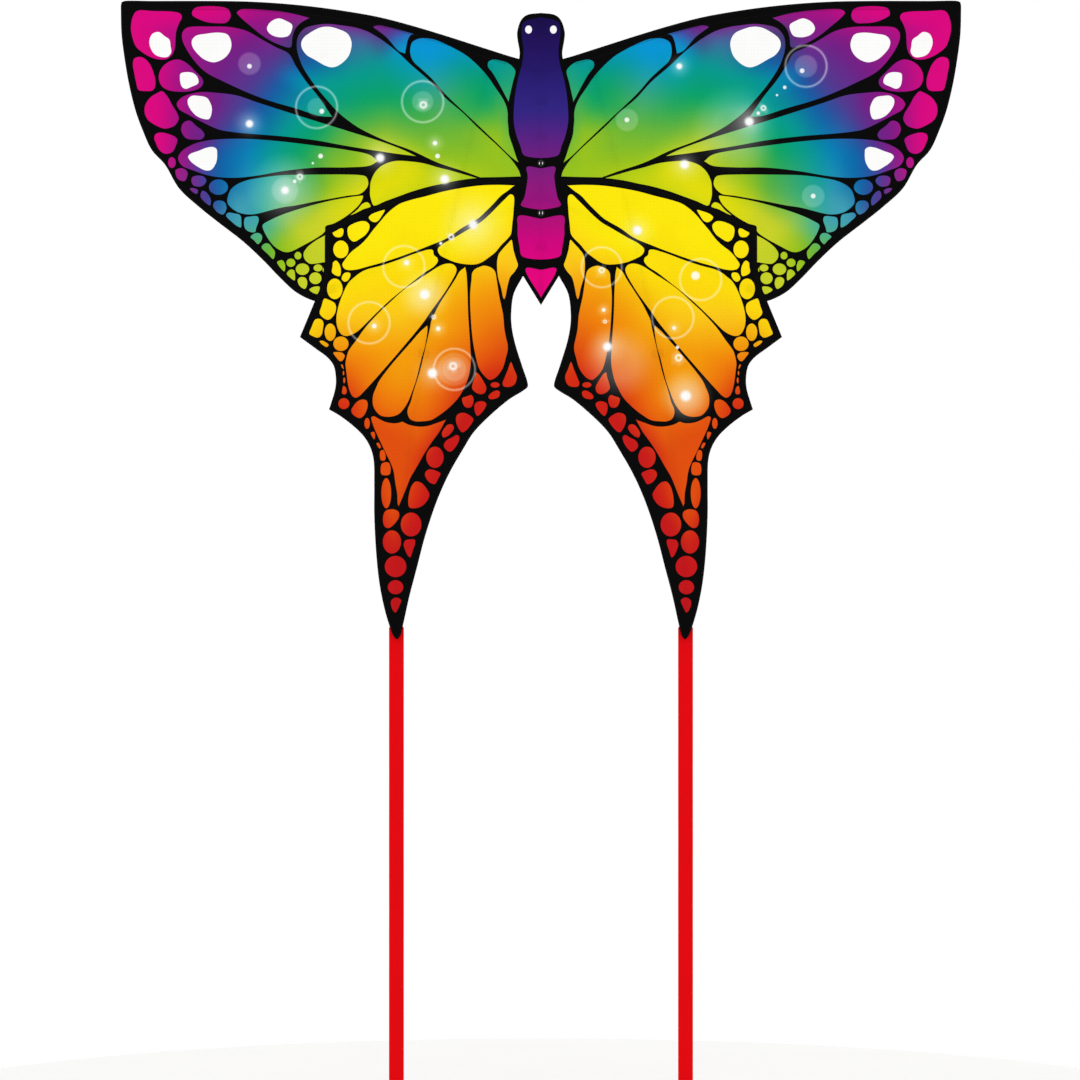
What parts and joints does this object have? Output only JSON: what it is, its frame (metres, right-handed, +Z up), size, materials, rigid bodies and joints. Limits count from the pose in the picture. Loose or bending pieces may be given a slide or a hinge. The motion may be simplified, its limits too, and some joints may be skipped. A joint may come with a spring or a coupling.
{
  "type": "swallowtail butterfly kite",
  "caption": "Butterfly-shaped kite with a printed swallowtail sail on a rod frame, wings that flex back on tube joiners, and a long ribbon swinging from each tail tip.",
  "frame": {"origin": "centre of the upper tow eyelet, on the body's centre line in the plane of the sail", "axes": "+Z up towards the head, +X towards the right wing as seen from the printed front, -Y towards the viewer of the print; the frame rods lie on the +Y side"},
  "size_m": [1.3, 0.04, 1.721],
  "materials": {
    "wing_cloth": "printed woven polyester, black cell outlines over a rainbow ground",
    "body_cloth": "printed woven polyester, navy to magenta inside a black outline",
    "sleeve_cloth": "black woven tape",
    "webbing": "black stitched webbing",
    "rod": "black pultruded fibreglass",
    "fitting": "black moulded nylon",
    "vinyl": "black flexible vinyl tube",
    "eyelet": "black moulded eyelet",
    "ring": "welded steel wire",
    "ribbon": "plain red ribbon",
    "tie": "black elastic cord"
  },
  "bodies": {
    "centre": {"body_strip": "body_cloth", "spine_rod": "rod", "head_pocket": "webbing", "body_tip_pocket": "webbing", "upper_hub": "fitting", "lower_hub": "fitting", "lower_hub_stop_above": "fitting", "lower_hub_stop_below": "fitting", "upper_tow_eyelet": "eyelet", "lower_tow_eyelet": "eyelet", "spine_loop_1": "webbing", "spine_loop_2": "webbing", "spine_loop_3": "webbing"},
    "left_wing": {"left_forewing": "wing_cloth", "left_hindwing": "wing_cloth", "left_body_panel": "body_cloth", "left_edge_sleeve": "sleeve_cloth", "left_edge_spar": "rod", "left_edge_joiner": "vinyl", "left_wing_tip_pocket": "webbing", "left_tail_spar": "rod", "left_tail_spar_top_pocket": "webbing", "left_tail_pocket": "webbing", "left_tail_spar_loop": "webbing", "left_spreader": "rod", "left_spreader_joiner": "vinyl", "left_spreader_pocket": "webbing", "left_tail_tab": "webbing"},
    "left_ring": {"left_tail_ring": "ring"},
    "left_tail": {"left_ribbon": "ribbon", "left_ribbon_roll": "ribbon", "left_roll_tie": "tie"},
    "right_wing": {"right_forewing": "wing_cloth", "right_hindwing": "wing_cloth", "right_body_panel": "body_cloth", "right_edge_sleeve": "sleeve_cloth", "right_edge_spar": "rod", "right_edge_joiner": "vinyl", "right_wing_tip_pocket": "webbing", "right_tail_spar": "rod", "right_tail_spar_top_pocket": "webbing", "right_tail_pocket": "webbing", "right_tail_spar_loop": "webbing", "right_spreader": "rod", "right_spreader_joiner": "vinyl", "right_spreader_pocket": "webbing", "right_tail_tab": "webbing"},
    "right_ring": {"right_tail_ring": "ring"},
    "right_tail": {"right_ribbon": "ribbon", "right_ribbon_roll": "ribbon", "right_roll_tie": "tie"}
  },
  "joints": [
    {"name": "left_wing_fold", "type": "hinge", "parent": "centre", "child": "left_wing", "pos_m": [-0.014, 0.0045, 0], "axis": [0, 0, -1], "range_deg": [0, 20], "stiffness_Nm_per_rad": 0.3},
    {"name": "left_tail_stream", "type": "hinge", "parent": "left_wing", "child": "left_ring", "pos_m": [-0.224, 0.011, -0.683], "axis": [1, 0, 0], "range_deg": [0, 30]},
    {"name": "left_tail_sway", "type": "hinge", "parent": "left_ring", "child": "left_tail", "pos_m": [-0.224, 0.011, -0.69], "axis": [0, 1, 0], "range_deg": [-4, 40]},
    {"name": "right_wing_fold", "type": "hinge", "parent": "centre", "child": "right_wing", "pos_m": [0.014, 0.0045, 0], "axis": [0, 0, 1], "range_deg": [0, 20], "stiffness_Nm_per_rad": 0.3},
    {"name": "right_tail_stream", "type": "hinge", "parent": "right_wing", "child": "right_ring", "pos_m": [0.224, 0.011, -0.683], "axis": [1, 0, 0], "range_deg": [0, 30]},
    {"name": "right_tail_sway", "type": "hinge", "parent": "right_ring", "child": "right_tail", "pos_m": [0.224, 0.011, -0.69], "axis": [0, -1, 0], "range_deg": [-4, 40]}
  ]
}
